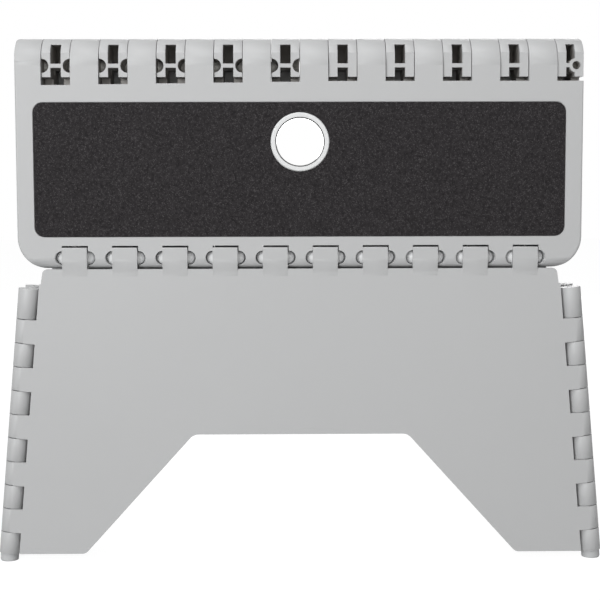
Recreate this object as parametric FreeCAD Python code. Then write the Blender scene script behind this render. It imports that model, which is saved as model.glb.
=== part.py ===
import FreeCAD, Part
import math
import os

from FreeCAD import Vector

# Folding entry step, folded flat and standing on its feet.
# X runs along the boards, Y runs from the front face to the back, Z is up.
# Y = 0 is the plane between the two folded halves. All sizes are in millimetres.

# Boards
board_width = 400.0
board_reach = 135.0
board_depth = 20.3
board_skin = 3.0
board_rim = 3.0
board_corner_radius = 22.0
board_top_corner_radius = 2.2
edge_radius = 1.6
fold_gap = 1.0

# Board ribs
rib_wall = 2.0
rib_pitch = 40.4
rib_rows = 3
rib_setback = 2.5
cross_rib_drop = 23.0

# Centre hinge between the boards
cell = 20.15
cells_each_way = 10
knuckle_gap = 0.2
knuckle_skin = 4.3
swing_gap = 0.5
ear_reach = 18.2
ear_drop = 7.9
ear_wall = 6.2
ear_heel = 5.0
ear_heel_drop = 14.0
ear_tie = 2.8
window_top = 15.0
slot_depth = 11.0
slot_depth_step = 0.5
centre_ball_radius = 4.4
ball_gap = 0.5
boss_radius = 5.0
boss_bore = 2.9
boss_bore_depth = 12.0

# Hinge between board and leg
leg_barrel_radius = 7.4
tab_count = 10
tab_pitch = 35.53
tab_width = 17.6
tab_gap = 0.6
tab_top_gap = 1.3
tab_side_gap = 0.42
tab_play = 0.35
tab_proud = 1.2
tab_wall = 3.3
tab_edge_radius = 0.8
tab_ball_radius = 4.7
tab_ball_gap = 0.35
slope_half = 6.0
slope_drop = 7.0

# Leg panels
leg_skin = 3.0
leg_top_gap = 0.5
leg_top_half = 182.5
leg_top_radius = 3.5
leg_shoulder_step = 1.6
leg_shoulder_drop = 1.0
leg_shoulder_height = 12.1
leg_drop = 213.5
leg_rib_depth = 3.6
leg_rib_rows = 3
leg_rib_start = 16.0
foot_drop = 5.6

# Arch of the leg
arch_rise = 86.7
arch_top_half = 76.8
arch_foot_half = 155.2
arch_corner_radius = 8.0
arch_foot_radius = 6.0

# Corner hinges and side panels
corner_slant = 5.2
corner_foot_half = 211.7
corner_radius = 7.4
corner_first_cell = 16.1
corner_last_cell = 21.9
corner_top_drop = 21.8
corner_pairs = 5
corner_gap = 0.3
corner_notch_gap = 0.7
corner_swing_gap = 0.4
pin_radius = 2.0
pin_gap = 0.08
side_skin = 3.0
side_rib_depth = 3.6
side_rib_start = 18.0
side_rib_columns = 4
side_low = 11.1
side_top_gap = 1.0
side_foot = 50.0
side_arch_reach = 122.0
side_arch_height = 107.6
side_corner_radius = 5.0

# Middle hinges of the side panels
mid_radius = 5.0
mid_pin_radius = 1.6
mid_cells = 5
mid_end_gap = 0.25
mid_leaf = 5.0

# Feet
foot_radius = 6.5
foot_edge_radius = 2.4
foot_sole_cut = 0.7
pin_in_foot = 2.8

# Grip pad and finger hole
pad_width = 375.0
pad_height = 94.4
pad_drop = 25.6
pad_corner_radius = 7.0
pad_thickness = 1.0
pad_recess = 0.8
pad_gap = 0.3
hole_drop = 53.4
hole_radius = 16.6
collar_wall = 1.4
collar_gap = 0.2
collar_flange_radius = 20.6
collar_flange = 1.6
hole_boss_wall = 2.6

# Heights and planes that follow
leg_axis_z = foot_drop + leg_drop
centre_axis_z = leg_axis_z + board_reach
leg_axis_y = -(board_depth - leg_barrel_radius)
half_width = board_width / 2
face_y = -board_depth
back_y = -fold_gap
leg_top_z = leg_axis_z - leg_barrel_radius - leg_top_gap
rim_setback = leg_barrel_radius - tab_wall - tab_gap
slant = math.radians(corner_slant)
corner_top = (leg_axis_z - corner_top_drop) / math.cos(slant)
corner_middle = corner_top - corner_last_cell - foot_drop - corner_first_cell
corner_cell = corner_middle / (2 * corner_pairs - 1)
corner_notch = corner_radius + corner_notch_gap
mid_offset = board_depth - leg_barrel_radius
reach_past = 40.0

# In the open step the knuckles of the boards hang just above the side panels
open_knuckle_z = leg_axis_z + leg_barrel_radius - board_depth - ear_reach
side_high = (open_knuckle_z - side_top_gap - corner_radius * math.sin(slant)) / math.cos(slant)


def block(x0, x1, y0, y1, z0, z1):
    """A box between two corners."""
    return Part.makeBox(x1 - x0, y1 - y0, z1 - z0, Vector(x0, y0, z0))


def rod_x(radius, x0, x1, y, z):
    """A round bar along X."""
    return Part.makeCylinder(radius, x1 - x0, Vector(x0, y, z), Vector(1, 0, 0))


def rod_y(radius, y0, y1, x, z):
    """A round bar along Y."""
    return Part.makeCylinder(radius, y1 - y0, Vector(x, y0, z), Vector(0, 1, 0))


def rod_z(radius, z0, z1, x, y):
    """A round bar along Z."""
    return Part.makeCylinder(radius, z1 - z0, Vector(x, y, z0), Vector(0, 0, 1))


def ball(radius, x, y, z):
    """A whole ball."""
    return Part.makeSphere(radius, Vector(x, y, z))


def join(shapes):
    """Fuse a list of shapes into one."""
    return shapes[0].multiFuse(shapes[1:]).removeSplitter()


def outline(corners, y0):
    """A closed wire in an XZ plane; each corner is (x, z, radius)."""
    edges = []
    ends = []
    count = len(corners)
    for index in range(count):
        x, z, radius = corners[index]
        here = Vector(x, y0, z)
        before = Vector(corners[index - 1][0], y0, corners[index - 1][1]) - here
        after_corner = corners[(index + 1) % count]
        after = Vector(after_corner[0], y0, after_corner[1]) - here
        if radius == 0:
            ends.append((here, here))
            continue
        before.normalize()
        after.normalize()
        half = before.getAngle(after) / 2
        along = radius / math.tan(half)
        middle = (before + after).normalize()
        start = here + before * along
        stop = here + after * along
        nearest = here + middle * (radius / math.sin(half) - radius)
        edges.append(Part.Arc(start, nearest, stop).toShape())
        ends.append((start, stop))
    for index in range(count):
        start = ends[index][1]
        stop = ends[(index + 1) % count][0]
        edges.append(Part.LineSegment(start, stop).toShape())
    return Part.Wire(Part.__sortEdges__(edges))


def sheet(corners, y0, y1):
    """A flat plate with the given outline between two Y planes."""
    return Part.Face(outline(corners, y0)).extrude(Vector(0, y1 - y0, 0))


def turned(shape):
    """The same moulding turned half a turn about the upright axis."""
    copy = shape.copy()
    copy.rotate(Vector(0, 0, 0), Vector(0, 0, 1), 180)
    return copy


def across(shape):
    """The mirror image on the other side, left to right."""
    return shape.mirror(Vector(0, 0, 0), Vector(1, 0, 0))


def backward(shape):
    """The mirror image on the other half, front to back."""
    return shape.mirror(Vector(0, 0, 0), Vector(0, 1, 0))


def own_cells():
    """Cells of the centre hinge that hold a knuckle of the front board."""
    return range(-cells_each_way, cells_each_way, 2)


def free_cells():
    """Cells of the centre hinge that are slots in the front board."""
    return range(1 - cells_each_way, cells_each_way, 2)


def cell_span(index, inset):
    """X limits of a hinge cell, kept inside the board."""
    low = max(index * cell + inset, -half_width)
    high = min((index + 1) * cell - inset, half_width)
    return low, high


def tab_centres():
    """X of each hinge tab of a leg."""
    return [(index - (tab_count - 1) / 2) * tab_pitch for index in range(tab_count)]


def board_envelope():
    """The outer form of a board with its rounded corners and edges."""
    low = leg_axis_z - leg_barrel_radius
    high = centre_axis_z + board_depth
    corners = [
        (-half_width, low, board_corner_radius),
        (half_width, low, board_corner_radius),
        (half_width, high, board_top_corner_radius),
        (-half_width, high, board_top_corner_radius),
    ]
    body = sheet(corners, face_y, ear_reach + 1)
    front = [edge for edge in body.Edges if edge.BoundBox.YMax < face_y + 0.001]
    return body.makeFillet(edge_radius, front)


def rim_corners(inset):
    """Outline of the board's rim, open above the centre hinge."""
    low = leg_axis_z - rim_setback + inset
    radius = board_corner_radius - inset
    side = half_width - inset
    high = centre_axis_z + board_depth
    return [(-side, low, radius), (side, low, radius), (side, high, 0), (-side, high, 0)]


def board_ribs():
    """The grid of ribs under a board, below the cross rib at the hinge."""
    top = centre_axis_z - cross_rib_drop
    low = leg_axis_z - rim_setback + board_rim / 2
    back = back_y - rib_setback
    front = face_y + board_skin / 2
    side = half_width - board_rim / 2
    ribs = [block(-side, side, front, back_y, top - board_rim, top)]
    for row in range(1, rib_rows + 1):
        z = low + (top - low) * row / (rib_rows + 1)
        ribs.append(block(-side, side, front, back, z, z + rib_wall))
    per_side = int((side - rib_wall) / rib_pitch)
    for index in range(-per_side, per_side + 1):
        x = index * rib_pitch
        ribs.append(block(x - rib_wall / 2, x + rib_wall / 2, front, back, low, top - board_rim / 2))
    return ribs


def ear(x0, x1):
    """One side wall of a centre knuckle: a disc with flat sides, a foot and a heel behind it."""
    z = centre_axis_z
    flat = block(x0, x1, face_y, ear_reach, z - ear_drop, z + board_depth)
    disc = rod_x(board_depth, x0, x1, 0, z).common(flat)
    foot = block(x0, x1, face_y, back_y, z - cross_rib_drop, z)
    heel = block(x0, x1, back_y, ear_heel, z - ear_heel_drop, z)
    return disc.multiFuse([foot, heel])


def knuckle(index):
    """One knuckle of the centre hinge: curved skin, two ears and a tie."""
    x0, x1 = cell_span(index, knuckle_gap)
    z = centre_axis_z
    round_bar = rod_x(board_depth, x0, x1, 0, z)
    quarter = round_bar.common(block(x0, x1, face_y, 0, z, z + board_depth))
    skin = quarter.cut(rod_x(board_depth - knuckle_skin, x0, x1, 0, z))
    brow = round_bar.common(block(x0, x1, 0, ear_reach, z + window_top, z + board_depth))
    tie = block(x0, x1, face_y + board_skin / 2, ear_reach, z - ear_tie / 2, z + ear_tie / 2)
    return [skin, brow, ear(x0, x0 + ear_wall), ear(x1 - ear_wall, x1), tie]


def end_boss():
    """The tubular boss in the outermost knuckle."""
    x = -half_width + boss_radius
    tube = rod_y(boss_radius, face_y + board_skin, ear_reach, x, centre_axis_z)
    bore = rod_y(boss_bore, ear_reach - boss_bore_depth, ear_reach + 1, x, centre_axis_z)
    return tube, bore


def centre_balls():
    """Snap balls on the knuckles of the left half."""
    balls = []
    for index in own_cells():
        if index >= 0:
            continue
        x0, x1 = cell_span(index, knuckle_gap)
        balls.append(ball(centre_ball_radius, x1, 0, centre_axis_z))
        if index > -cells_each_way:
            balls.append(ball(centre_ball_radius, x0, 0, centre_axis_z))
    return balls


def centre_sockets():
    """Pockets for the snap balls in the knuckles of the right half."""
    pockets = []
    radius = centre_ball_radius + ball_gap
    for index in own_cells():
        if index < 0:
            continue
        for x in cell_span(index, knuckle_gap):
            pockets.append(ball(radius, x, 0, centre_axis_z))
            pockets.append(rod_y(radius, 0, ear_reach + 1, x, centre_axis_z))
    return pockets


def centre_slots():
    """Room in the board for the knuckles of the other board."""
    cuts = []
    z = centre_axis_z
    for index in free_cells():
        x0, x1 = cell_span(index, -knuckle_gap)
        x1 = x1 + 1 if x1 > half_width - 1 else x1
        depth = slot_depth + slot_depth_step * max(0, (1 - index) // 2)
        cuts.append(block(x0, x1, face_y - 1, ear_reach + 1, z - depth, z + board_depth + 1))
        cuts.append(rod_x(board_depth + swing_gap, x0, x1, 0, z))
    return cuts


def tab_slots():
    """Room in the board's edge for the hinge tabs and balls of the leg."""
    cuts = []
    radius = leg_barrel_radius + tab_gap
    socket = tab_ball_radius + tab_ball_gap
    for x in tab_centres():
        x0 = x + tab_play - tab_width / 2 - tab_side_gap
        x1 = x + tab_play + tab_width / 2 + tab_side_gap
        cuts.append(rod_x(radius, x0, x1, leg_axis_y, leg_axis_z))
        low = leg_axis_z - radius
        high = leg_axis_z + leg_barrel_radius + tab_top_gap
        cuts.append(block(x0, x1, face_y - 1, leg_axis_y, low, high))
        for edge in (x0, x1):
            cuts.append(ball(socket, edge, leg_axis_y, leg_axis_z))
            cuts.append(rod_y(socket, face_y - 1, leg_axis_y, edge, leg_axis_z))
    return cuts


def pad_corners(grow):
    """Outline of the grip pad."""
    side = pad_width / 2 + grow
    high = centre_axis_z - pad_drop + grow
    low = centre_axis_z - pad_drop - pad_height - grow
    radius = pad_corner_radius + grow
    return [(-side, low, radius), (side, low, radius), (side, high, radius), (-side, high, radius)]


def tread_board():
    """The front tread board."""
    hole_z = centre_axis_z - hole_drop
    bore = hole_radius + collar_wall + collar_gap
    skin = block(-half_width, half_width, face_y, face_y + board_skin, leg_axis_z, centre_axis_z)
    lip = rod_x(leg_barrel_radius, -half_width, half_width, leg_axis_y, leg_axis_z)
    rim = sheet(rim_corners(0), leg_axis_y, back_y)
    side_rim = sheet(rim_corners(0), face_y, leg_axis_y)
    side_rim = side_rim.common(block(-half_width, half_width, face_y, 0, leg_axis_z, centre_axis_z))
    hollow = sheet(rim_corners(board_rim), face_y, back_y)
    rim = rim.fuse(side_rim).cut(hollow)
    rim = rim.common(block(-half_width, half_width, face_y, 0, 0, centre_axis_z))
    hole_boss = rod_y(bore + hole_boss_wall, face_y + board_skin / 2, back_y, 0, hole_z)
    solids = [skin, lip, rim, hole_boss] + board_ribs()
    for index in own_cells():
        solids = solids + knuckle(index)
    tube, tube_bore = end_boss()
    solids.append(tube)
    body = join(solids).common(board_envelope())
    cuts = centre_slots() + tab_slots() + centre_sockets()
    cuts.append(tube_bore)
    cuts.append(rod_y(bore, face_y - 1, 1, 0, hole_z))
    cuts.append(sheet(pad_corners(pad_gap), face_y - 1, face_y + pad_recess))
    body = body.cut(cuts)
    return join([body] + centre_balls())


def grip_pad():
    """The grit pad let into the board."""
    hole_z = centre_axis_z - hole_drop
    floor = face_y + pad_recess
    pad = sheet(pad_corners(0), floor - pad_thickness, floor)
    opening = collar_flange_radius + pad_gap
    return pad.cut(rod_y(opening, floor - 2 * pad_thickness, floor + 1, 0, hole_z))


def hole_collar():
    """The flanged collar that lines the finger hole."""
    hole_z = centre_axis_z - hole_drop
    floor = face_y + pad_recess
    flange = rod_y(collar_flange_radius, floor - collar_flange, floor, 0, hole_z)
    rim = [edge for edge in flange.Edges if edge.BoundBox.YMax < floor - collar_flange + 0.001]
    flange = flange.makeFillet(collar_flange / 2, rim)
    sleeve = rod_y(hole_radius + collar_wall, floor - collar_flange / 4, back_y - collar_gap, 0, hole_z)
    body = flange.fuse(sleeve)
    return body.cut(rod_y(hole_radius, floor - 2 * collar_flange, 1, 0, hole_z))


def slanted(shape):
    """Place a shape built on the corner axis of the front left corner."""
    copy = shape.copy()
    copy.rotate(Vector(0, 0, 0), Vector(0, 1, 0), corner_slant)
    copy.translate(Vector(-corner_foot_half, leg_axis_y, 0))
    return copy


def corner_axis_x(z):
    """Half width of the corner axis at a height."""
    return corner_foot_half - z * math.tan(slant)


def corner_low():
    """Where the lowest corner barrel starts, along the corner axis."""
    return foot_drop


def panel_corner_spans(inset):
    """Spans along the corner axis held by barrels of the side panel."""
    first_top = corner_low() + corner_first_cell
    spans = [(corner_low(), first_top - inset)]
    for index in range(1, corner_pairs):
        top = first_top + 2 * corner_cell * index
        spans.append((top - corner_cell + inset, top - inset))
    low = first_top + 2 * corner_cell * corner_pairs - corner_cell
    spans.append((low + inset, corner_top))
    return spans


def leg_corner_spans(inset):
    """Spans along the corner axis held by barrels of the leg."""
    first_top = corner_low() + corner_first_cell
    spans = []
    for index in range(corner_pairs):
        low = first_top + 2 * corner_cell * index
        spans.append((low + inset, low + corner_cell - inset))
    return spans


def arch_corners(grow):
    """Outline of the arch; a positive grow gives a wider opening."""
    run = arch_foot_half - arch_top_half
    lean = math.atan2(arch_rise, run)
    top = foot_drop + arch_rise + grow
    shift = grow / math.sin(lean) + grow / math.tan(lean)
    below = foot_drop - reach_past
    lower = arch_foot_half + grow / math.sin(lean) + (foot_drop - below) / math.tan(lean)
    upper = arch_top_half + shift - 2 * grow / math.tan(lean)
    return [
        (-lower, below, 0),
        (lower, below, 0),
        (upper, top, arch_corner_radius),
        (-upper, top, arch_corner_radius),
    ]


def leg_panel_sheet(y0, y1):
    """The flat panel of a leg with its arch and shoulders, without notches."""
    shoulder = leg_axis_z - leg_shoulder_height - leg_barrel_radius
    step = shoulder + leg_shoulder_drop
    arch_top = foot_drop + arch_rise
    right = [
        (arch_top_half, arch_top, arch_corner_radius),
        (arch_foot_half, foot_drop, arch_foot_radius),
        (corner_axis_x(foot_drop), foot_drop, 0),
        (corner_axis_x(shoulder), shoulder, 0),
        (leg_top_half + leg_shoulder_step, step, 0),
        (leg_top_half, leg_top_z, leg_top_radius),
    ]
    left = [(-x, z, radius) for x, z, radius in reversed(right)]
    return sheet(right + left, y0, y1)


def leg_grid():
    """Low ribs on the inside of a leg, with a rim along the arch."""
    front = face_y + leg_skin / 2
    back = face_y + leg_skin + leg_rib_depth
    top = leg_axis_z - leg_rib_start
    side = corner_axis_x(top) - leg_rib_start
    ribs = []
    for row in range(leg_rib_rows):
        low = foot_drop + arch_rise + rib_wall
        z = low + (top - low) * row / (leg_rib_rows - 1) - rib_wall
        ribs.append(block(-side, side, front, back, z, z + rib_wall))
    per_side = int(side / rib_pitch)
    for index in range(-per_side, per_side + 1):
        x = index * rib_pitch
        ribs.append(block(x - rib_wall / 2, x + rib_wall / 2, front, back, foot_drop, top))
    band = sheet(arch_corners(rib_wall), front, back)
    foot_side = corner_axis_x(foot_drop) - leg_rib_start
    ribs.append(band.common(block(-foot_side, foot_side, front, back, foot_drop, top)))
    panel = leg_panel_sheet(front, back)
    return [rib.common(panel) for rib in ribs]


def hinge_tabs():
    """The tabs along the top of a leg, with a snap ball at both ends."""
    solids = []
    face = face_y - tab_proud
    low = leg_top_z - leg_top_gap
    high = leg_axis_z + leg_barrel_radius
    slope = tab_slope()
    for x in tab_centres():
        x0 = x - tab_width / 2
        x1 = x + tab_width / 2
        solids.append(rod_x(leg_barrel_radius, x0, x1, leg_axis_y, leg_axis_z))
        head = block(x0, x1, face, leg_axis_y, leg_axis_z, high)
        front = [edge for edge in head.Edges if edge.BoundBox.YMax < face + 0.001]
        upper = [edge for edge in front if edge.BoundBox.ZMin > high - 0.001]
        solids.append(head.makeFillet(tab_edge_radius, upper))
        solids.append(block(x0, x1, face_y, face_y + tab_wall, low, leg_axis_z))
        skirt = slope.copy()
        skirt.translate(Vector(x0, 0, 0))
        solids.append(skirt)
        for end in (x0, x1):
            solids.append(ball(tab_ball_radius, end, leg_axis_y, leg_axis_z))
    return solids


def tab_slope():
    """The proud front of a tab, which runs down in a soft slope into the leg."""
    middle = leg_axis_z - slope_drop
    half_rise = tab_proud / 2
    radius = (slope_half ** 2 + half_rise ** 2) / tab_proud
    lean = math.asin(slope_half / radius) / 2
    side = slope_half - radius * math.sin(lean)
    rise = half_rise - radius * (1 - math.cos(lean))
    face = face_y - half_rise
    top = Vector(0, face - half_rise, middle + slope_half)
    upper = Vector(0, face - rise, middle + side)
    centre = Vector(0, face, middle)
    lower = Vector(0, face + rise, middle - side)
    bottom = Vector(0, face_y, middle - slope_half)
    bottom_back = Vector(0, face_y + leg_skin / 2, middle - slope_half)
    high_back = Vector(0, face_y + leg_skin / 2, leg_axis_z)
    high = Vector(0, face_y - tab_proud, leg_axis_z)
    edges = [
        Part.LineSegment(high, top).toShape(),
        Part.Arc(top, upper, centre).toShape(),
        Part.Arc(centre, lower, bottom).toShape(),
        Part.LineSegment(bottom, bottom_back).toShape(),
        Part.LineSegment(bottom_back, high_back).toShape(),
        Part.LineSegment(high_back, high).toShape(),
    ]
    return Part.Face(Part.Wire(edges)).extrude(Vector(tab_width, 0, 0))


def leg_panel():
    """The front leg panel."""
    solids = [leg_panel_sheet(face_y, face_y + leg_skin)]
    for low, high in leg_corner_spans(corner_gap):
        barrel = slanted(rod_z(corner_radius, low, high, 0, 0))
        solids.append(barrel)
        solids.append(across(barrel))
    solids = solids + leg_grid() + hinge_tabs()
    body = join(solids)
    bore = slanted(rod_z(pin_radius + pin_gap, 0, corner_top + reach_past, 0, 0))
    cuts = [bore, across(bore)]
    spans = panel_corner_spans(0)
    last = len(spans) - 1
    for index, (low, high) in enumerate(spans):
        low = low - reach_past if index == 0 else low
        high = high + reach_past if index == last else high
        notch = block(-reach_past, corner_notch, -2 * corner_radius, 2 * corner_radius, low, high)
        notch = slanted(notch)
        cuts.append(notch)
        cuts.append(across(notch))
    return body.cut(cuts)


def side_corners():
    """Outline of a side half panel, along the leg and up the corner axis."""
    end = board_reach - mid_end_gap
    return [
        (0, side_low, 0),
        (side_foot, side_low, side_corner_radius),
        (side_arch_reach, side_arch_height, side_corner_radius),
        (end, side_arch_height, 0),
        (end, side_high, 0),
        (0, side_high, 0),
    ]


def side_grid():
    """Low ribs on the inside of a side half panel."""
    back = corner_radius - side_skin / 2
    front = corner_radius - side_skin - side_rib_depth
    end = board_reach - mid_radius
    ribs = []
    for z in (side_arch_height, (side_arch_height + side_high) / 2, side_high - rib_wall):
        ribs.append(block(side_rib_start, end, front, back, z, z + rib_wall))
    for index in range(side_rib_columns):
        x = side_rib_start + (end - side_rib_start - rib_wall) * index / (side_rib_columns - 1)
        ribs.append(block(x, x + rib_wall, front, back, side_low, side_high))
    edge = sheet(side_corners(), front, back)
    return [rib.common(edge) for rib in ribs]


def mid_span(index, inset):
    """Limits of a middle hinge cell along the axis."""
    height = (side_high - side_arch_height) / mid_cells
    low = side_arch_height + height * index
    return low + inset, low + height - inset


def side_panel(first):
    """A front left side half panel; first is its lowest middle hinge cell."""
    outer = corner_radius
    solids = [sheet(side_corners(), outer - side_skin, outer)]
    solids = solids + side_grid()
    mid_cuts = []
    for index in range(mid_cells):
        if index % 2 == first:
            low, high = mid_span(index, corner_gap)
            end = board_reach - mid_end_gap
            leaf = block(end - mid_leaf, end, outer - side_skin, mid_offset, low, high)
            solids.append(leaf)
            solids.append(rod_z(mid_radius, low, high, board_reach, mid_offset))
        else:
            low, high = mid_span(index, 0)
            mid_cuts.append(rod_z(mid_radius + corner_swing_gap, low, high, board_reach, mid_offset))
    base = join(solids)
    cuts = mid_cuts
    for low, high in leg_corner_spans(0):
        cuts.append(block(-reach_past, corner_notch, -outer, 2 * outer, low, high))
    base = base.cut(cuts)
    barrels = [rod_z(corner_radius, low, high, 0, 0) for low, high in panel_corner_spans(corner_gap)]
    base = join([base] + barrels)
    bores = [
        rod_z(pin_radius + pin_gap, 0, corner_top + 1, 0, 0),
        rod_z(mid_pin_radius + pin_gap, 0, side_high + 1, board_reach, mid_offset),
    ]
    return slanted(base.cut(bores))


def corner_pin():
    """The pin of the front left corner hinge."""
    return slanted(rod_z(pin_radius, pin_in_foot, corner_top - pin_in_foot / 2, 0, 0))


def mid_pin():
    """The pin of the left middle hinge."""
    return slanted(rod_z(mid_pin_radius, side_arch_height, side_high, board_reach, mid_offset))


def foot():
    """The round foot under the front left corner hinge, with a level sole."""
    top = corner_low() - corner_gap
    low = -foot_radius * math.tan(slant) - foot_sole_cut
    body = rod_z(foot_radius, low, top, 0, 0)
    lower = [edge for edge in body.Edges if edge.BoundBox.ZMax < low + 0.001]
    body = body.makeFillet(foot_edge_radius, lower)
    body = body.cut(rod_z(pin_radius + pin_gap, pin_in_foot - pin_gap, top + 1, 0, 0))
    body = slanted(body)
    far = 2 * corner_foot_half
    return body.cut(block(-far, far, -far, far, -reach_past, 0))


def build():
    """Every piece of the folded step, by name."""
    board = tread_board()
    pad = grip_pad()
    collar = hole_collar()
    leg = leg_panel()
    panel_even = side_panel(0)
    panel_odd = side_panel(1)
    pin = corner_pin()
    middle = mid_pin()
    stub = foot()
    return {
        "board_front": board,
        "board_rear": turned(board),
        "grip_pad_front": pad,
        "grip_pad_rear": turned(pad),
        "hole_collar_front": collar,
        "hole_collar_rear": turned(collar),
        "leg_front": leg,
        "leg_rear": turned(leg),
        "side_front_left": panel_even,
        "side_front_right": across(panel_odd),
        "side_rear_left": backward(panel_odd),
        "side_rear_right": across(backward(panel_even)),
        "corner_pin_front_left": pin,
        "corner_pin_front_right": across(pin),
        "corner_pin_rear_left": backward(pin),
        "corner_pin_rear_right": across(backward(pin)),
        "middle_pin_left": middle,
        "middle_pin_right": across(middle),
        "foot_front_left": stub,
        "foot_front_right": across(stub),
        "foot_rear_left": backward(stub),
        "foot_rear_right": across(backward(stub)),
    }


os.makedirs("parts", exist_ok=True)
for name, shape in build().items():
    print(name, len(shape.Solids), shape.isValid(), round(shape.Volume))
    shape.exportStep(os.path.join("parts", name + ".step"))
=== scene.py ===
"""Dresses the folding entry step: shell, grit pads, collars, pins and feet, light and camera."""

from __future__ import annotations

import logging
import math
from dataclasses import dataclass
from enum import Enum

import bmesh
import bpy
from mathutils import Matrix, Vector

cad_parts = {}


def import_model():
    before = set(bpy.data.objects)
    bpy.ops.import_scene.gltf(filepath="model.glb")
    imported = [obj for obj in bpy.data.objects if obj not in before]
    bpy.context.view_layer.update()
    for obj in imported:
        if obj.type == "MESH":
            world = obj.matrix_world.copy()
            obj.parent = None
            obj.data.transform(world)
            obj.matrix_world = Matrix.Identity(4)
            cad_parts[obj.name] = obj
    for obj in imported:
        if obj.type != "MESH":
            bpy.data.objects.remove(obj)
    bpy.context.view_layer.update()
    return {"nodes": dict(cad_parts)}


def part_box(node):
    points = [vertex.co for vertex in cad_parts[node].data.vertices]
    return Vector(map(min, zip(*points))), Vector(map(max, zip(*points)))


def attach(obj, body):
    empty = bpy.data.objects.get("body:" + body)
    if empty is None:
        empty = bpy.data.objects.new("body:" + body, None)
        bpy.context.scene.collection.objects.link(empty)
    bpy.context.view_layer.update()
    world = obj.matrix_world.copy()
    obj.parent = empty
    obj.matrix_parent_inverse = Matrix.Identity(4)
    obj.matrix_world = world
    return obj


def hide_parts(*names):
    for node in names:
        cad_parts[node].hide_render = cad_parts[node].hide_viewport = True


LOG = logging.getLogger("entry_step")
MM = 0.001

# Places of the hinge axes, as the CAD part has them.
CENTRE_AXIS_HEIGHT = 354.1 * MM
LEG_AXIS_DEPTH = 12.9 * MM
LEG_AXIS_HEIGHT = 219.1 * MM

# Ends of the range in which nearly all values of a noise texture lie.
NOISE_LOW = 0.3
NOISE_HIGH = 0.7

# Numbers of a Mix node's colour sockets, whose names its other data types share.
MIX_FACTOR = 0
MIX_FIRST = 6
MIX_SECOND = 7
MIX_RESULT = 2


class Half(Enum):
    """The two halves of the folded step, by the sign of Y that their treads face."""

    FRONT = -1
    REAR = 1

    @property
    def word(self) -> str:
        """The half's name as it stands in node and body names."""
        return self.name.lower()


class Slot(Enum):
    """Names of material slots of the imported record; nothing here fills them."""

    GRIT = "grip_grit"
    COLLAR = "collar_plastic"


class Graph:
    """A thin helper that adds and links the nodes of one tree."""

    def __init__(self, tree: bpy.types.NodeTree) -> None:
        """Wraps a tree.

        Args:
            tree: The node tree to fill.
        """
        self.tree = tree

    def add(self, kind: str, **settings: object) -> bpy.types.Node:
        """Adds a node.

        Args:
            kind: Blender's identifier of the node type.
            **settings: Properties to set on it.

        Returns:
            The new node.
        """
        node = self.tree.nodes.new(kind)
        for key, value in settings.items():
            setattr(node, key, value)
        return node

    def feed(self, node: bpy.types.Node, name: str | int, value: object) -> None:
        """Sets or links one input of a node.

        Args:
            node: The node whose input is fed.
            name: The input's name or index.
            value: A plain value, or an output socket to link from.
        """
        socket = node.inputs[name]
        if isinstance(value, bpy.types.NodeSocket):
            self.tree.links.new(value, socket)
        else:
            socket.default_value = value

    def math(self, operation: str, *values: object) -> bpy.types.NodeSocket:
        """Adds a Math node.

        Args:
            operation: The operation's identifier.
            *values: Its values or sockets, in the node's own order.

        Returns:
            The result's socket.
        """
        node = self.add("ShaderNodeMath", operation=operation)
        for index, value in enumerate(values):
            self.feed(node, index, value)
        return node.outputs[0]

    def spread(
        self, value: object, low: float, high: float, to_low: float, to_high: float
    ) -> bpy.types.NodeSocket:
        """Maps a value from one range to another, clamped.

        Args:
            value: The value's socket.
            low: Start of the input range.
            high: End of the input range.
            to_low: Result at the start.
            to_high: Result at the end.

        Returns:
            The result's socket.
        """
        node = self.add("ShaderNodeMapRange")
        self.feed(node, "From Min", low)
        self.feed(node, "From Max", high)
        self.feed(node, "To Min", to_low)
        self.feed(node, "To Max", to_high)
        self.feed(node, "Value", value)
        return node.outputs[0]

    def place(self) -> bpy.types.NodeSocket:
        """Adds the object's own coordinates.

        Returns:
            The coordinates' socket.
        """
        return self.add("ShaderNodeTexCoord").outputs["Object"]

    def noise(
        self, coordinates: bpy.types.NodeSocket, scale: object, detail: float
    ) -> bpy.types.NodeSocket:
        """Adds a Noise Texture.

        Args:
            coordinates: Where it is read.
            scale: Its scale, per metre.
            detail: How many octaves it has.

        Returns:
            The noise's value.
        """
        node = self.add("ShaderNodeTexNoise")
        self.feed(node, "Vector", coordinates)
        self.feed(node, "Scale", scale)
        self.feed(node, "Detail", detail)
        return node.outputs[0]

    def blend(
        self, kind: str, factor: object, first: object, second: object
    ) -> bpy.types.NodeSocket:
        """Adds a Mix node for colours.

        Args:
            kind: The blend type's identifier.
            factor: How much of the blend counts.
            first: The first colour.
            second: The second colour.

        Returns:
            The resulting colour's socket.
        """
        node = self.add("ShaderNodeMix", data_type="RGBA", blend_type=kind)
        self.feed(node, MIX_FACTOR, factor)
        self.feed(node, MIX_FIRST, first)
        self.feed(node, MIX_SECOND, second)
        return node.outputs[MIX_RESULT]

    def seeing_rays(self) -> bpy.types.NodeSocket:
        """Finds the rays that see the studio, as against those that light the step from it.

        Returns:
            A socket with 1 for camera, glossy and transmission rays.
        """
        path = self.add("ShaderNodeLightPath")
        seen = self.math("MAXIMUM", path.outputs["Is Camera Ray"], path.outputs["Is Glossy Ray"])
        return self.math("MAXIMUM", seen, path.outputs["Is Transmission Ray"])


def opaque(colour: tuple[float, float, float]) -> tuple[float, float, float, float]:
    """Adds a full alpha to a colour.

    Args:
        colour: The linear colour.

    Returns:
        The colour with its alpha.
    """
    return (*colour, 1.0)


def grey(tone: float) -> tuple[float, float, float, float]:
    """Spells out an opaque grey.

    Args:
        tone: Its linear tone.

    Returns:
        The colour with its alpha.
    """
    return opaque((tone, tone, tone))


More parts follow.
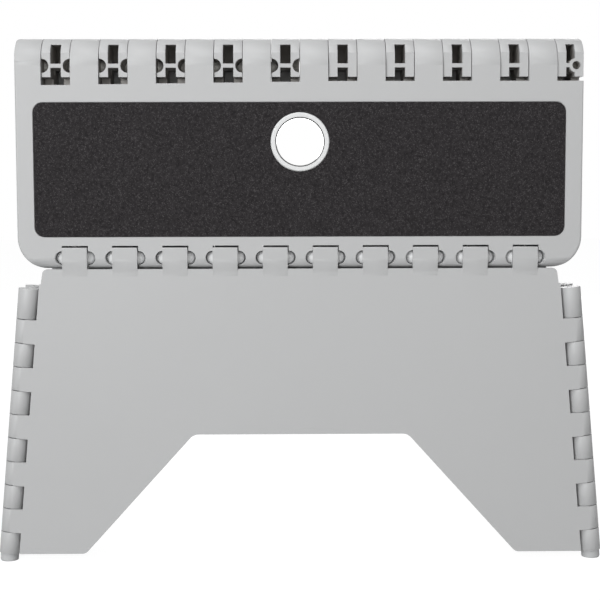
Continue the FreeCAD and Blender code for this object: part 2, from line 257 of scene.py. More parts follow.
def new_group(
    name: str, inputs: dict[str, float], outputs: dict[str, str]
) -> tuple[Graph, dict[str, bpy.types.NodeSocket], bpy.types.Node]:
    """Starts a shader node group with named sockets.

    Args:
        name: The group's name.
        inputs: Each input's name and its default number.
        outputs: Each output's name and its socket type.

    Returns:
        The group's graph, its inputs by name and its output node.
    """
    tree = bpy.data.node_groups.new(name, "ShaderNodeTree")
    for label, number in inputs.items():
        socket = tree.interface.new_socket(label, in_out="INPUT", socket_type="NodeSocketFloat")
        socket.default_value = number
    for label, kind in outputs.items():
        tree.interface.new_socket(label, in_out="OUTPUT", socket_type=kind)
    graph = Graph(tree)
    start = graph.add("NodeGroupInput")
    sockets = {label: start.outputs[label] for label in inputs}
    return graph, sockets, graph.add("NodeGroupOutput")


@dataclass(frozen=True)
class MouldedGrain:
    """The spark-eroded grain that moulded plastic shows, as a shader node group.

    Attributes:
        cloud_scale: How close the slow clouds of tone lie, per metre.
        streak_scale: How close the quicker streaks lie, per metre.
        streak_share: Share of the tone that the streaks make.
        relief: Height of the grain, in metres.
    """

    cloud_scale: float = 7.0
    streak_scale: float = 46.0
    streak_share: float = 0.3
    relief: float = 0.2 * MM

    def build(self) -> bpy.types.NodeTree:
        """Builds the group.

        Returns:
            A group that puts out a slow tone value, a roughness value and a bumped normal.
        """
        inputs = {
            "Grain Scale": 900.0,
            "Grain Depth": 0.1,
            "Tone Spread": 0.02,
            "Gloss": 0.45,
            "Gloss Spread": 0.08,
        }
        outputs = {
            "Tone": "NodeSocketFloat",
            "Roughness": "NodeSocketFloat",
            "Normal": "NodeSocketVector",
        }
        graph, given, end = new_group("moulded grain", inputs, outputs)
        place = graph.place()
        fine = graph.noise(place, given["Grain Scale"], detail=3.0)
        cloud = graph.noise(place, self.cloud_scale, detail=2.0)
        streak = graph.noise(place, self.streak_scale, detail=4.0)
        slow_part = graph.math("MULTIPLY", cloud, 1.0 - self.streak_share)
        quick_part = graph.math("MULTIPLY", streak, self.streak_share)
        centred = graph.math("SUBTRACT", graph.math("ADD", slow_part, quick_part), 0.5)
        tone = graph.math("MULTIPLY_ADD", centred, given["Tone Spread"], 1.0)
        wander = graph.math("SUBTRACT", streak, 0.5)
        rough = graph.math("MULTIPLY", wander, given["Gloss Spread"])
        bump = graph.add("ShaderNodeBump")
        graph.feed(bump, "Strength", given["Grain Depth"])
        graph.feed(bump, "Distance", self.relief)
        graph.feed(bump, "Height", fine)
        graph.feed(end, "Tone", tone)
        graph.feed(end, "Roughness", graph.math("ADD", rough, given["Gloss"]))
        graph.feed(end, "Normal", bump.outputs[0])
        return graph.tree


@dataclass(frozen=True)
class HingeShadeAndLightMask:
    """Where painted shade and painted light go inside a hinge, as a shader node group.

    Attributes:
        fade: Width over which the painted shade and light start and end round the axis, in
            metres.
        cover_fade: Width over which it ends towards the open air, in metres.
        patch_scale: How close its patches lie, per metre.
        thinnest: How much of it is left between the patches.
    """

    fade: float = 1.0 * MM
    cover_fade: float = 1.5 * MM
    patch_scale: float = 160.0
    thinnest: float = 0.8

    def build(self) -> bpy.types.NodeTree:
        """Builds the group.

        Returns:
            A group that puts out how much painted shade and light a point takes, from 0 to 1.
        """
        inputs = {
            "Axis Depth": 0.0,
            "Axis Height": 0.354,
            "Core": 0.0,
            "Reach": 0.016,
            "Cover": 0.017,
            "Half Length": 0.199,
        }
        graph, given, end = new_group("hinge painted shade and light", inputs, {"Wear": "NodeSocketFloat"})
        place = graph.place()
        axes = graph.add("ShaderNodeSeparateXYZ")
        graph.feed(axes, 0, place)
        depth = graph.math("ABSOLUTE", axes.outputs[1])
        inward = graph.math("SUBTRACT", depth, given["Axis Depth"])
        upward = graph.math("SUBTRACT", axes.outputs[2], given["Axis Height"])
        inward_square = graph.math("MULTIPLY", inward, inward)
        upward_square = graph.math("MULTIPLY", upward, upward)
        radius = graph.math("SQRT", graph.math("ADD", inward_square, upward_square))
        past_reach = graph.math("SUBTRACT", radius, given["Reach"])
        outer = graph.spread(past_reach, 0.0, self.fade, 1.0, 0.0)
        past_core = graph.math("SUBTRACT", radius, given["Core"])
        inner = graph.spread(past_core, -self.fade, 0.0, 0.0, 1.0)
        near = graph.math("MULTIPLY", outer, inner)
        past_cover = graph.math("SUBTRACT", depth, given["Cover"])
        covered = graph.spread(past_cover, 0.0, self.cover_fade, 1.0, 0.0)
        sideways = graph.math("ABSOLUTE", axes.outputs[0])
        inside = graph.math("LESS_THAN", sideways, given["Half Length"])
        # Blotches in the painted shade and light, so that it is not even.
        patches = graph.noise(place, self.patch_scale, detail=3.0)
        patchy = graph.spread(patches, NOISE_LOW, NOISE_HIGH, self.thinnest, 1.0)
        where = graph.math("MULTIPLY", graph.math("MULTIPLY", near, covered), inside)
        graph.feed(end, "Wear", graph.math("MULTIPLY", where, patchy))
        return graph.tree


@dataclass(frozen=True)
class HingeShadeAndLight:
    """A tone painted inside a hinge: painted shade round its axis, painted light on its balls.

    Attributes:
        depth: How far the hinge's axis lies from the middle plane, in metres.
        height: How high its axis lies, in metres.
        core: How far from the axis the painted tone starts, in metres.
        reach: How far from the axis it ends, in metres.
        cover: How far from the middle plane it ends, in metres.
        tint: What it makes of the colour, by channel.
    """

    depth: float
    height: float
    core: float
    reach: float
    cover: float
    tint: tuple[float, float, float]


@dataclass(frozen=True)
class MouldedPlastic:
    """A through-coloured moulded plastic.

    Attributes:
        name: The material's name.
        colour: Its linear colour.
        gloss: Its middle roughness.
        gloss_spread: How far the roughness wanders.
        grain_scale: Grains per metre of its texture.
        grain_depth: Strength of the texture's bump.
        tone_spread: How far the tone wanders.
        specular: The shader's specular level.
        wear: Painted shade and painted light inside the hinges.
    """

    name: str
    colour: tuple[float, float, float]
    gloss: float = 0.45
    gloss_spread: float = 0.08
    grain_scale: float = 900.0
    grain_depth: float = 0.12
    tone_spread: float = 0.05
    specular: float = 0.35
    wear: tuple[HingeShadeAndLight, ...] = ()

    def with_painted_shade_and_light(
        self, graph: Graph, colour: bpy.types.NodeSocket, mask: bpy.types.NodeTree
    ) -> bpy.types.NodeSocket:
        """Paints shade and light into a colour inside the hinges.

        Args:
            graph: The material's graph.
            colour: The clean colour's socket.
            mask: The group that places the hinges' painted shade and light.

        Returns:
            The resulting colour's socket.
        """
        for wear in self.wear:
            group = graph.add("ShaderNodeGroup", node_tree=mask)
            graph.feed(group, "Axis Depth", wear.depth)
            graph.feed(group, "Axis Height", wear.height)
            graph.feed(group, "Core", wear.core)
            graph.feed(group, "Reach", wear.reach)
            graph.feed(group, "Cover", wear.cover)
            # Painted shade darkens the colour and painted light brightens it, where the mask
            # says.
            colour = graph.blend("MULTIPLY", group.outputs["Wear"], colour, opaque(wear.tint))
        return colour

    def build(self, grain: bpy.types.NodeTree, mask: bpy.types.NodeTree) -> bpy.types.Material:
        """Makes the material.

        Args:
            grain: The moulded grain group.
            mask: The group that places the hinges' painted shade and light.

        Returns:
            The finished material.
        """
        material = bpy.data.materials.new(self.name)
        material.use_nodes = True
        graph = Graph(material.node_tree)
        shader = material.node_tree.nodes["Principled BSDF"]
        group = graph.add("ShaderNodeGroup", node_tree=grain)
        graph.feed(group, "Grain Scale", self.grain_scale)
        graph.feed(group, "Grain Depth", self.grain_depth)
        graph.feed(group, "Tone Spread", self.tone_spread)
        graph.feed(group, "Gloss", self.gloss)
        graph.feed(group, "Gloss Spread", self.gloss_spread)
        clean = graph.blend("MULTIPLY", 1.0, opaque(self.colour), group.outputs["Tone"])
        graph.feed(shader, "Base Color", self.with_painted_shade_and_light(graph, clean, mask))
        graph.feed(shader, "Roughness", group.outputs["Roughness"])
        graph.feed(shader, "Normal", group.outputs["Normal"])
        graph.feed(shader, "Specular IOR Level", self.specular)
        return material


@dataclass(frozen=True)
class DrawnSteel:
    """The drawn wire of the hinge pins.

    Attributes:
        name: The material's name.
        colour: Its linear colour.
        gloss: Its middle roughness.
        line_scale: How close the drawing lines lie, per metre.
        stretch: How much the lines are drawn out along the pin.
        smoother: How far the roughness falls between the lines.
        rougher: How far it rises on them.
    """

    name: str = "drawn steel"
    colour: tuple[float, float, float] = (0.42, 0.42, 0.43)
    gloss: float = 0.32
    line_scale: float = 2600.0
    stretch: float = 0.02
    smoother: float = 0.08
    rougher: float = 0.1

    def build(self) -> bpy.types.Material:
        """Makes the material.

        Returns:
            The finished material.
        """
        material = bpy.data.materials.new(self.name)
        material.use_nodes = True
        graph = Graph(material.node_tree)
        shader = material.node_tree.nodes["Principled BSDF"]
        drawn = graph.add("ShaderNodeMapping")
        graph.feed(drawn, "Vector", graph.place())
        graph.feed(drawn, "Scale", (1.0, 1.0, self.stretch))
        lines = graph.noise(drawn.outputs[0], self.line_scale, detail=2.0)
        least, most = self.gloss - self.smoother, self.gloss + self.rougher
        graph.feed(shader, "Base Color", opaque(self.colour))
        graph.feed(shader, "Metallic", 1.0)
        graph.feed(shader, "Roughness", graph.spread(lines, NOISE_LOW, NOISE_HIGH, least, most))
        return material


@dataclass(frozen=True)
class GritSheet:
    """The dark abrasive sheet of the grip pads.

    Attributes:
        name: The material's name.
        dark: Linear colour of the binder.
        light: Linear colour of the palest grains.
        grain_scale: Grains per metre.
        mottle_scale: How close its mottling is, per metre.
        mottle_share: How much of the light colour the mottling brings in.
        rare_from: Grains whose random number is above this are pale.
        rare_share: How much of the light colour the palest grain has.
        roughness: Roughness of the dullest grains.
        glint: How much less rough the brightest grains are.
        bump: Strength of the fine relief.
        relief: Height of the fine relief, in metres.
        specular: The shader's specular level.
    """

    name: str = "grit sheet"
    dark: tuple[float, float, float] = (0.0105, 0.009, 0.01)
    light: tuple[float, float, float] = (0.1, 0.093, 0.096)
    grain_scale: float = 1900.0
    mottle_scale: float = 450.0
    mottle_share: float = 0.2
    rare_from: float = 0.8
    rare_share: float = 0.6
    roughness: float = 0.82
    glint: float = 0.2
    bump: float = 0.7
    relief: float = 0.3 * MM
    specular: float = 0.14

    def build(self) -> bpy.types.Material:
        """Makes the material.

        Returns:
            The finished material.
        """
        material = bpy.data.materials.new(self.name)
        material.use_nodes = True
        graph = Graph(material.node_tree)
        shader = material.node_tree.nodes["Principled BSDF"]
        place = graph.place()
        cells = graph.add("ShaderNodeTexVoronoi")
        graph.feed(cells, "Vector", place)
        graph.feed(cells, "Scale", self.grain_scale)
        pick = graph.add("ShaderNodeSeparateColor")
        graph.feed(pick, 0, cells.outputs["Color"])
        rare = graph.spread(pick.outputs[0], self.rare_from, 1.0, 0.0, 1.0)
        mottle = graph.noise(place, self.mottle_scale, detail=3.0)
        cloud = graph.spread(mottle, NOISE_LOW, NOISE_HIGH, 0.0, self.mottle_share)
        amount = graph.math("ADD", graph.math("MULTIPLY", rare, self.rare_share), cloud)
        colour = graph.blend("MIX", amount, opaque(self.dark), opaque(self.light))
        brightest = self.roughness - self.glint
        rough = graph.spread(pick.outputs[1], 0.0, 1.0, brightest, self.roughness)
        bump = graph.add("ShaderNodeBump")
        graph.feed(bump, "Strength", self.bump)
        graph.feed(bump, "Distance", self.relief)
        graph.feed(bump, "Height", graph.noise(place, self.grain_scale, detail=2.0))
        graph.feed(shader, "Base Color", colour)
        graph.feed(shader, "Roughness", rough)
        graph.feed(shader, "Normal", bump.outputs[0])
        graph.feed(shader, "Specular IOR Level", self.specular)
        return material


def adopt(mesh: bpy.types.Mesh, name: str, *materials: bpy.types.Material) -> bpy.types.Object:
    """Puts a mesh in the scene with its materials.

    Args:
        mesh: The finished mesh.
        name: The object's name.
        *materials: Its materials, in the order of its faces' numbers.

    Returns:
        The new object.
    """
    if mesh.materials:
        mesh.materials.clear()
    for material in materials:
        mesh.materials.append(material)
    piece = bpy.data.objects.new(name, mesh)
    bpy.context.scene.collection.objects.link(piece)
    return piece


@dataclass
class Shell:
    """The moulded boards, legs and side panels, which keep their own CAD form.

    Attributes:
        weld: Points closer than this are merged, in metres.
        bevel: Width of the softened edges, in metres.
        steps: Segments of each softened edge.
        angle: Edges sharper than this are softened, in degrees.
        flat: Faces closer than this in direction are merged first, in degrees.
    """

    weld: float = 0.001 * MM
    bevel: float = 0.35 * MM
    steps: int = 2
    angle: float = 35.0
    flat: float = 0.5

    def soften(self, piece: bpy.types.Object) -> None:
        """Rounds the moulding's edges with modifiers.

        Args:
            piece: The CAD node's object.
        """
        weld = piece.modifiers.new("weld", "WELD")
        weld.merge_threshold = self.weld
        merge = piece.modifiers.new("merge flats", "DECIMATE")
        merge.decimate_type = "DISSOLVE"
        merge.angle_limit = math.radians(self.flat)
        bevel = piece.modifiers.new("soft edges", "BEVEL")
        bevel.width = self.bevel
        bevel.segments = self.steps
        bevel.limit_method = "ANGLE"
        bevel.angle_limit = math.radians(self.angle)
        bevel.use_clamp_overlap = True
        bevel.harden_normals = True

    def dress(self, nodes: dict[str, bpy.types.Object], material: bpy.types.Material) -> None:
        """Gives every shell node its finish and soft edges.

        Args:
            nodes: The frame's objects by node name.
            material: The shell's material.
        """
        for name, piece in nodes.items():
            if not name.startswith(("board_", "leg_", "side_")):
                continue
            paint(piece, material)
            self.soften(piece)
            LOG.info("shell piece %s", name)


def paint(piece: bpy.types.Object, material: bpy.types.Material) -> None:
    """Puts one material in all slots of a piece.

    Args:
        piece: The object to paint.
        material: Its new material.
    """
    if not piece.material_slots:
        piece.data.materials.append(material)
    for slot in piece.material_slots:
        slot.material = material


@dataclass
class GripPad:
    """A grit pad let into a board, with its grains as real relief.

    Attributes:
        half: The half it belongs to.
        corner: Radius of its corners, in metres.
        opening: Radius of the hole round the collar, in metres.
        edge: Width of its softened border, in metres.
        grains: Grains per square metre.
        grain: Width of a middling grain, in metres.
        grain_sides: Sides of a grain.
        grain_height: Height of a grain, as a share of its width.
        smallest: Size of the smallest grain, as a share of the middling one.
        largest: Size of the largest grain, as a share of the middling one.
        tilt: How far a grain leans at most, in radians.
        turn: How far a grain is turned at most, in radians.
        facing: Least part of a face's direction that points out of the board.
        seed: Seed of the grains' places.
        corner_steps: Steps round a corner.
        opening_steps: Steps round the hole.
    """

    half: Half
    corner: float = 7.0 * MM
    opening: float = 20.9 * MM
    edge: float = 0.3 * MM
    grains: float = 900000.0
    grain: float = 0.42 * MM
    grain_sides: int = 4
    grain_height: float = 0.45
    smallest: float = 0.55
    largest: float = 1.35
    tilt: float = 0.35
    turn: float = 6.28
    facing: float = 0.9
    seed: int = 11
    corner_steps: int = 8
    opening_steps: int = 48

    def outline(self, low: Vector, high: Vector, inset: float) -> list[tuple[float, float]]:
        """Works out the pad's outline.

        Args:
            low: Lowest corner of the CAD pad.
            high: Highest corner of the CAD pad.
            inset: How far inside the edge it lies.

        Returns:
            Points (x, z) round the outline.
        """
        points = []
        radius = self.corner - inset
        corners = (
            (high.x - self.corner, high.z - self.corner, 0.0),
            (low.x + self.corner, high.z - self.corner, 90.0),
            (low.x + self.corner, low.z + self.corner, 180.0),
            (high.x - self.corner, low.z + self.corner, 270.0),
        )
        for x, z, start in corners:
            for step in range(self.corner_steps + 1):
                turn = math.radians(start + 90.0 * step / self.corner_steps)
                points.append((x + radius * math.cos(turn), z + radius * math.sin(turn)))
        return points

    def base(self, low: Vector, high: Vector, centre: Vector) -> bpy.types.Mesh:
        """Builds the sheet without its grains.

        Args:
            low: Lowest corner of the CAD pad.
            high: Highest corner of the CAD pad.
            centre: Middle of the finger hole.

        Returns:
            A closed mesh.
        """
        outward = self.half.value
        face = low.y if outward < 0 else high.y
        back = high.y if outward < 0 else low.y
        rings = []
        levels = ((0.0, back), (0.0, face - outward * self.edge), (self.edge, face))
        for inset, y in levels:
            rings.append([(x, y, z) for x, z in self.outline(low, high, inset)])
        count = self.opening_steps
        turns = [2 * math.pi * step / count for step in range(count)]
        holes = []
        for inset, y in levels:
            radius = self.opening + inset
            holes.append([
                (centre.x + radius * math.cos(turn), y, centre.z + radius * math.sin(turn))
                for turn in turns
            ])
        work = bmesh.new()
        made = [[work.verts.new(p) for p in ring] for ring in rings]
        bored = [[work.verts.new(p) for p in ring] for ring in holes]
        for loops in (made, bored):
            for below, above in zip(loops, loops[1:]):
                size = len(below)
                for index in range(size):
                    after = (index + 1) % size
                    work.faces.new((below[index], below[after], above[after], above[index]))
        for outer, inner in ((made[0], bored[0]), (made[-1], bored[-1])):
            edges = []
            for loop in (outer, inner):
                for index, vert in enumerate(loop):
                    edge = work.edges.get((vert, loop[(index + 1) % len(loop)]))
                    edges.append(edge)
            bmesh.ops.triangle_fill(work, edges=edges, use_beauty=True)
        bmesh.ops.recalc_face_normals(work, faces=work.faces)
        mesh = bpy.data.meshes.new(f"grit pad {self.half.word}")
        work.to_mesh(mesh)
        work.free()
        return mesh

    def grain_tree(self) -> bpy.types.NodeTree:
        """Builds the Geometry Nodes that strew grains over the pad's face.

        Returns:
            The tree, with its sizes as named inputs.
        """
        tree = bpy.data.node_groups.new("strewn grit", "GeometryNodeTree")
        interface = tree.interface
        interface.new_socket("Geometry", in_out="INPUT", socket_type="NodeSocketGeometry")
        for label in ("Density", "Grain Size", "Facing"):
            interface.new_socket(label, in_out="INPUT", socket_type="NodeSocketFloat")
        interface.new_socket("Seed", in_out="INPUT", socket_type="NodeSocketInt")
        interface.new_socket("Material", in_out="INPUT", socket_type="NodeSocketMaterial")
        interface.new_socket("Geometry", in_out="OUTPUT", socket_type="NodeSocketGeometry")
        graph = Graph(tree)
        start = graph.add("NodeGroupInput")
        normal = graph.add("GeometryNodeInputNormal")
        split = graph.add("ShaderNodeSeparateXYZ")
        graph.feed(split, 0, normal.outputs[0])
        facing = graph.math("MULTIPLY", split.outputs[1], start.outputs["Facing"])
        front = graph.math("GREATER_THAN", facing, self.facing)
        strew = graph.add("GeometryNodeDistributePointsOnFaces")
        graph.feed(strew, "Mesh", start.outputs["Geometry"])
        graph.feed(strew, "Selection", front)
        graph.feed(strew, "Density", start.outputs["Density"])
        graph.feed(strew, "Seed", start.outputs["Seed"])
        grain = graph.add("GeometryNodeMeshCone", fill_type="NONE")
        graph.feed(grain, "Vertices", self.grain_sides)
        graph.feed(grain, "Radius Top", 0.0)
        graph.feed(grain, "Radius Bottom", 0.5)
        graph.feed(grain, "Depth", self.grain_height)
        size = graph.add("FunctionNodeRandomValue")
        graph.feed(size, "Min", self.smallest)
        graph.feed(size, "Max", self.largest)
        scale = graph.math("MULTIPLY", size.outputs[1], start.outputs["Grain Size"])
        turn = graph.add("FunctionNodeRandomValue", data_type="FLOAT_VECTOR")
        graph.feed(turn, "Min", (-self.tilt, -self.tilt, 0.0))
        graph.feed(turn, "Max", (self.tilt, self.tilt, self.turn))
        rotate = graph.add("FunctionNodeRotateRotation", rotation_space="LOCAL")
        graph.feed(rotate, 0, strew.outputs["Rotation"])
        graph.feed(rotate, 1, turn.outputs[0])
        place = graph.add("GeometryNodeInstanceOnPoints")
        graph.feed(place, "Points", strew.outputs["Points"])
        graph.feed(place, "Instance", grain.outputs["Mesh"])
        graph.feed(place, "Rotation", rotate.outputs[0])
        graph.feed(place, "Scale", scale)
        merge = graph.add("GeometryNodeJoinGeometry")
        graph.feed(merge, 0, place.outputs[0])
        graph.feed(merge, 0, start.outputs["Geometry"])
        real = graph.add("GeometryNodeRealizeInstances")
        graph.feed(real, 0, merge.outputs[0])
        dress = graph.add("GeometryNodeSetMaterial")
        graph.feed(dress, 0, real.outputs[0])
        graph.feed(dress, "Material", start.outputs["Material"])
        end = graph.add("NodeGroupOutput")
        graph.feed(end, 0, dress.outputs[0])
        return tree

    def build(self, material: bpy.types.Material) -> bpy.types.Object:
        """Makes the pad and lets it stand for its CAD node.

        Args:
            material: The grit's material.

        Returns:
            The finished pad.
        """
        node = f"grip_pad_{self.half.word}"
        low, high = (Vector(c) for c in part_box(node))
        hole_low, hole_high = (Vector(c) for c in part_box(f"hole_collar_{self.half.word}"))
        carrier = adopt(self.base(low, high, (hole_low + hole_high) / 2), "bare pad", material)
        strewn = carrier.modifiers.new("grit", "NODES")
        strewn.node_group = self.grain_tree()
        values = {
            "Density": self.grains,
            "Grain Size": self.grain,
            "Facing": float(self.half.value),
            "Seed": self.seed,
            "Material": material,
        }
        for item in strewn.node_group.interface.items_tree:
            if item.in_out == "INPUT" and item.name in values:
                strewn[item.identifier] = values[item.name]
        graph = bpy.context.evaluated_depsgraph_get()
        mesh = bpy.data.meshes.new_from_object(carrier.evaluated_get(graph))
        bpy.data.objects.remove(carrier)
        pad = adopt(mesh, f"grit_pad_{self.half.word}", material)
        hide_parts(node)
        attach(pad, f"board_{self.half.word}_body")
        LOG.info("grit pad %s with %d faces", self.half.word, len(mesh.polygons))
        return pad


@dataclass
class Collar:
    """The flanged lining of the finger hole.

    Attributes:
        half: The half it belongs to.
        bore: Radius of the finger hole, in metres.
        sleeve: Outer radius of the sleeve, in metres.
        flange: Thickness of the flange, in metres.
        round_over: Radius of the flange's outer edge, in metres.
        lip: Radius of the lip at the bore, in metres.
        seam: Depth to which the lip carries painted shade, in metres.
        segments: Steps round the collar.
        round_steps: Steps round the flange's outer edge.
        lip_steps: Steps round the lip.
        sharp: Edges sharper than this keep their crease, in degrees.
    """

    half: Half
    bore: float = 16.6 * MM
    sleeve: float = 18.0 * MM
    flange: float = 1.6 * MM
    round_over: float = 0.7 * MM
    lip: float = 0.9 * MM
    seam: float = 1.2 * MM
    segments: int = 96
    round_steps: int = 6
    lip_steps: int = 5
    sharp: float = 40.0

    def profile(self, outer: float, length: float) -> list[tuple[float, float]]:
        """Works out half the collar's section, with depths from the flange's face.

        Args:
            outer: Outer radius of the flange.
            length: Length of the collar.

        Returns:
            Points (radius, depth) round the closed section.
        """
        points = []
        for step in range(self.round_steps + 1):
            turn = math.radians(90.0 * step / self.round_steps)
            points.append((
                outer - self.round_over + self.round_over * math.cos(turn),
                self.round_over - self.round_over * math.sin(turn),
            ))
        for step in range(self.lip_steps + 1):
            turn = math.radians(90.0 * step / self.lip_steps)
            points.append((
                self.bore + self.lip - self.lip * math.sin(turn),
                self.lip - self.lip * math.cos(turn),
            ))
        points.append((self.bore, self.seam))
        points.append((self.bore, length))
        points.append((self.sleeve, length))
        points.append((self.sleeve, self.flange))
        points.append((outer, self.flange))
        return points

    def finish(self, middle: Vector, centre: Vector, face: float) -> int:
        """Picks the finish of one face of the turned collar.

        Args:
            middle: The face's middle.
            centre: Middle of the finger hole.
            face: Distance of the flange's face from the middle plane.

        Returns:
            0 for the white plastic, 1 for the lip's painted shade, 2 for the bore painted
            lighter.
        """
        radius = math.hypot(middle.x - centre.x, middle.z - centre.z)
        if radius > self.bore + self.lip:
            return 0
        # Painted shade on the lip near the face; the bore deeper in is painted lighter.
        return 1 if face - abs(middle.y) < self.seam else 2

    def build(self, *materials: bpy.types.Material) -> bpy.types.Object:
        """Turns the section round the hole's axis.

        Args:
            *materials: The white plastic, the lip's painted shade and the bore's lighter,
                        glossier material.

        Returns:
            The finished collar.
        """
        node = f"hole_collar_{self.half.word}"
        low, high = (Vector(c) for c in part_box(node))
        centre = (low + high) / 2
        outward = self.half.value
        face = max(abs(low.y), abs(high.y))
        end = min(abs(low.y), abs(high.y))
        section = self.profile((high.x - low.x) / 2, face - end)
        work = bmesh.new()
        rings = []
        for step in range(self.segments):
            turn = 2 * math.pi * step / self.segments
            ring = []
            for radius, depth in section:
                place = (
                    centre.x + radius * math.cos(turn),
                    outward * (face - depth),
                    centre.z + radius * math.sin(turn),
                )
                ring.append(work.verts.new(place))
            rings.append(ring)
        for index, ring in enumerate(rings):
            beside = rings[(index + 1) % self.segments]
            for place in range(len(ring)):
                after = (place + 1) % len(ring)
                work.faces.new((ring[place], ring[after], beside[after], beside[place]))
        bmesh.ops.recalc_face_normals(work, faces=work.faces)
        for made in work.faces:
            made.smooth = True
            made.material_index = self.finish(made.calc_center_median(), centre, face)
        mesh = bpy.data.meshes.new(f"collar {self.half.word}")
        work.to_mesh(mesh)
        work.free()
        mesh.set_sharp_from_angle(angle=math.radians(self.sharp))
        collar = adopt(mesh, f"finger_collar_{self.half.word}", *materials)
        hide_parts(node)
        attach(collar, f"board_{self.half.word}_body")
        LOG.info("collar %s", self.half.word)
        return collar


@dataclass
class Hardware:
    """The pins and feet, which keep their CAD form."""

    def dress(
        self,
        nodes: dict[str, bpy.types.Object],
        steel: bpy.types.Material,
        soft: bpy.types.Material,
    ) -> None:
        """Gives pins and feet their finishes.

        Args:
            nodes: The frame's objects by node name.
            steel: Material of the pins.
            soft: Material of the feet.
        """
        for name, piece in nodes.items():
            if "_pin_" in name:
                paint(piece, steel)
                LOG.info("pin %s", name)
            elif name.startswith("foot_"):
                paint(piece, soft)
                LOG.info("foot %s", name)


@dataclass(frozen=True)
class Lamp:
    """One square soft lamp.

    Attributes:
        name: The lamp's name.
        place: Where it hangs, in metres.
        size: Its side, in metres.
        power: Its power in watts.
        tint: Its linear colour.
    """

    name: str
    place: tuple[float, float, float]
    size: float
    power: float
    tint: tuple[float, float, float] = (1.0, 1.0, 1.0)

    def hang(self, target: Vector) -> None:
        """Hangs the lamp so that it points at the step.

        Args:
            target: The point that it is aimed at, in metres.
        """
        data = bpy.data.lights.new(self.name, "AREA")
        data.size = self.size
        data.energy = self.power
        data.color = self.tint
        lamp = bpy.data.objects.new(self.name, data)
        aim = target - Vector(self.place)
        lamp.location = self.place
        lamp.rotation_euler = aim.to_track_quat("-Z", "Y").to_euler()
        lamp.visible_camera = False
        bpy.context.scene.collection.objects.link(lamp)


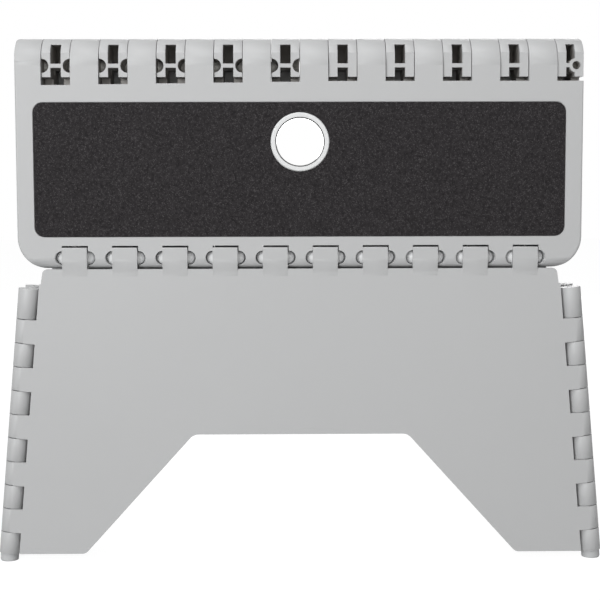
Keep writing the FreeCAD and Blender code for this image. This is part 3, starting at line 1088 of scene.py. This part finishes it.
@dataclass
class Studio:
    """The plain floor, the soft light and the camera of the photograph.

    Attributes:
        camera_place: Where the camera stands, in metres.
        yaw: The camera's turn to the right, in degrees.
        pitch: The camera's dip below the horizon, in degrees.
        roll: The camera's turn about its own axis, in degrees.
        focal: Focal length in photograph pixels.
        frame: Width of the photograph in pixels.
        sensor: The camera's sensor width in millimetres.
        nearest: Distance at which the camera's view starts, in metres.
        lamps: The soft lamps.
        target: The point that the lamps are aimed at, in metres.
        floor_size: Half side of the floor, in metres.
        floor_tone: Tone of the floor as it lights the step.
        shade_tone: Tone of the part of the seen floor that takes shadows.
        floor_glow: Tone that the seen floor has in full shadow.
        sky_tint: Colour of the even light round the step.
        sky_power: Strength of the even light.
    """

    camera_place: tuple[float, float, float] = (-0.0120, -0.9637, 0.2685)
    yaw: float = 0.713
    pitch: float = 4.823
    roll: float = -0.138
    focal: float = 1330.8
    frame: float = 600.0
    sensor: float = 36.0
    nearest: float = 0.01
    lamps: tuple[Lamp, ...] = (
        Lamp("key", (-1.3, -2.3, 0.9), 1.1, 38.0, (0.985, 0.992, 1.0)),
        Lamp("front", (0.1, -2.3, 0.45), 1.2, 8.5, (1.0, 0.99, 0.97)),
        Lamp("top", (-0.2, -1.0, 2.2), 1.2, 22.0),
        Lamp("rear", (0.4, 2.2, 0.7), 1.6, 26.0),
    )
    target: tuple[float, float, float] = (0.0, 0.0, 0.2)
    floor_size: float = 6.0
    floor_tone: float = 0.4
    shade_tone: float = 0.14
    floor_glow: float = 0.96
    sky_tint: tuple[float, float, float] = (0.98, 0.99, 1.0)
    sky_power: float = 0.2

    def camera(self) -> None:
        """Makes the camera."""
        data = bpy.data.cameras.new("photograph")
        data.sensor_width = self.sensor
        data.lens = self.focal / self.frame * self.sensor
        data.clip_start = self.nearest
        camera = bpy.data.objects.new("photograph", data)
        yaw, pitch, roll = (math.radians(a) for a in (self.yaw, self.pitch, self.roll))
        level = math.cos(pitch)
        ahead = Vector((math.sin(yaw) * level, math.cos(yaw) * level, -math.sin(pitch)))
        right = Vector((math.cos(yaw), -math.sin(yaw), 0.0))
        up = right.cross(ahead)
        turned_right = right * math.cos(roll) + up * math.sin(roll)
        turned_up = up * math.cos(roll) - right * math.sin(roll)
        axes = Matrix((turned_right, turned_up, -ahead)).transposed().to_4x4()
        camera.matrix_world = Matrix.Translation(self.camera_place) @ axes
        bpy.context.scene.collection.objects.link(camera)
        bpy.context.scene.camera = camera

    def floor(self) -> None:
        """Lays a pale floor that keeps a faint shadow."""
        material = bpy.data.materials.new("pale floor")
        material.use_nodes = True
        graph = Graph(material.node_tree)
        tree = material.node_tree
        tree.nodes.remove(tree.nodes["Principled BSDF"])
        matt = graph.add("ShaderNodeBsdfDiffuse")
        graph.feed(matt, "Color", grey(self.floor_tone))
        faint = graph.add("ShaderNodeBsdfDiffuse")
        graph.feed(faint, "Color", grey(self.shade_tone))
        glow = graph.add("ShaderNodeEmission")
        graph.feed(glow, "Color", grey(1.0))
        graph.feed(glow, "Strength", self.floor_glow)
        seen = graph.add("ShaderNodeAddShader")
        graph.feed(seen, 0, faint.outputs[0])
        graph.feed(seen, 1, glow.outputs[0])
        mix = graph.add("ShaderNodeMixShader")
        graph.feed(mix, 0, graph.seeing_rays())
        graph.feed(mix, 1, matt.outputs[0])
        graph.feed(mix, 2, seen.outputs[0])
        graph.feed(tree.nodes["Material Output"], "Surface", mix.outputs[0])
        size = self.floor_size
        mesh = bpy.data.meshes.new("floor")
        square = [(-size, -size, 0.0), (size, -size, 0.0), (size, size, 0.0), (-size, size, 0.0)]
        mesh.from_pydata(square, [], [(0, 1, 2, 3)])
        floor = adopt(mesh, "floor", material)

    def world(self) -> None:
        """Surrounds the step with even light and a white background."""
        world = bpy.data.worlds.new("studio")
        world.use_nodes = True
        bpy.context.scene.world = world
        graph = Graph(world.node_tree)
        soft = world.node_tree.nodes["Background"]
        graph.feed(soft, "Color", opaque(self.sky_tint))
        graph.feed(soft, "Strength", self.sky_power)
        white = graph.add("ShaderNodeBackground")
        graph.feed(white, "Color", grey(1.0))
        graph.feed(white, "Strength", 1.0)
        mix = graph.add("ShaderNodeMixShader")
        graph.feed(mix, 0, graph.seeing_rays())
        graph.feed(mix, 1, soft.outputs[0])
        graph.feed(mix, 2, white.outputs[0])
        graph.feed(world.node_tree.nodes["World Output"], "Surface", mix.outputs[0])

    def build(self) -> None:
        """Sets up floor, light and camera."""
        self.floor()
        self.world()
        for lamp in self.lamps:
            lamp.hang(Vector(self.target))
        self.camera()
        bpy.context.scene.view_settings.view_transform = "Standard"
        LOG.info("studio ready")


def corners(bounds: tuple[Vector, Vector]) -> list[list[float]]:
    """Turns two corners into plain lists.

    Args:
        bounds: Lowest and highest corner.

    Returns:
        The same numbers as lists.
    """
    return [list(corner) for corner in bounds]


def hinge_shade_and_light() -> tuple[HingeShadeAndLight, ...]:
    """States the shade and light painted into the hinges.

    Returns:
        The painted shade in the centre hinge, and the painted light on its balls and on those of
        the legs.
    """
    # Painted shade: darkens and browns the centre hinge round its axis, where shade falls.
    painted_shade = HingeShadeAndLight(
        depth=0.0,
        height=CENTRE_AXIS_HEIGHT,
        core=5.6 * MM,
        reach=16.2 * MM,
        cover=15.0 * MM,
        tint=(0.62, 0.58, 0.54),
    )
    # Painted light: brightens the centre hinge's balls and the pockets round them.
    centre_ball_highlight = HingeShadeAndLight(
        depth=0.0,
        height=CENTRE_AXIS_HEIGHT,
        core=0.0,
        reach=4.9 * MM,
        cover=15.0 * MM,
        tint=(1.65, 1.62, 1.56),
    )
    # Painted light: brightens the legs' hinge balls and the pockets round them.
    leg_ball_highlight = HingeShadeAndLight(
        depth=LEG_AXIS_DEPTH,
        height=LEG_AXIS_HEIGHT,
        core=0.0,
        reach=5.3 * MM,
        cover=17.9 * MM,
        tint=(1.55, 1.55, 1.55),
    )
    return painted_shade, centre_ball_highlight, leg_ball_highlight


def main() -> None:
    """Dresses the whole step."""
    logging.basicConfig(level=logging.INFO, format="%(name)s: %(message)s")
    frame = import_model()
    nodes = frame["nodes"]
    grain = MouldedGrain().build()
    # The group that places the hinges' painted shade and light.
    mask = HingeShadeAndLightMask().build()
    # The shell's colour takes painted shade in the centre hinge and painted light on the hinge
    # balls.
    moulding = MouldedPlastic("light grey shell", (0.485, 0.488, 0.49), wear=hinge_shade_and_light())
    shell = moulding.build(grain, mask)
    collars = (
        MouldedPlastic("white collar", (0.72, 0.725, 0.727), gloss=0.32, grain_depth=0.03),
        # A dark ring painted on the bore's lip where the seam lies in shade.
        MouldedPlastic("lip painted shade", (0.1, 0.1, 0.1), gloss=0.6, grain_depth=0.03),
        # The bore: the collar's plastic painted lighter, with more gloss, to stand in for light
        # falling into it.
        MouldedPlastic(
            "bore painted lighter",
            (0.85, 0.855, 0.855),
            gloss=0.1,
            gloss_spread=0.0,
            grain_depth=0.0,
        ),
    )
    linings = [finish.build(grain, mask) for finish in collars]
    rubber = MouldedPlastic("pale foot", (0.52, 0.525, 0.53), gloss=0.6).build(grain, mask)
    steel = DrawnSteel().build()
    grit = GritSheet().build()
    Shell().dress(nodes, shell)
    Hardware().dress(nodes, steel, rubber)
    for half in Half:
        GripPad(half).build(grit)
        Collar(half).build(*linings)
    Studio().build()
    bpy.context.view_layer.update()


if __name__ == "__main__":
    main()
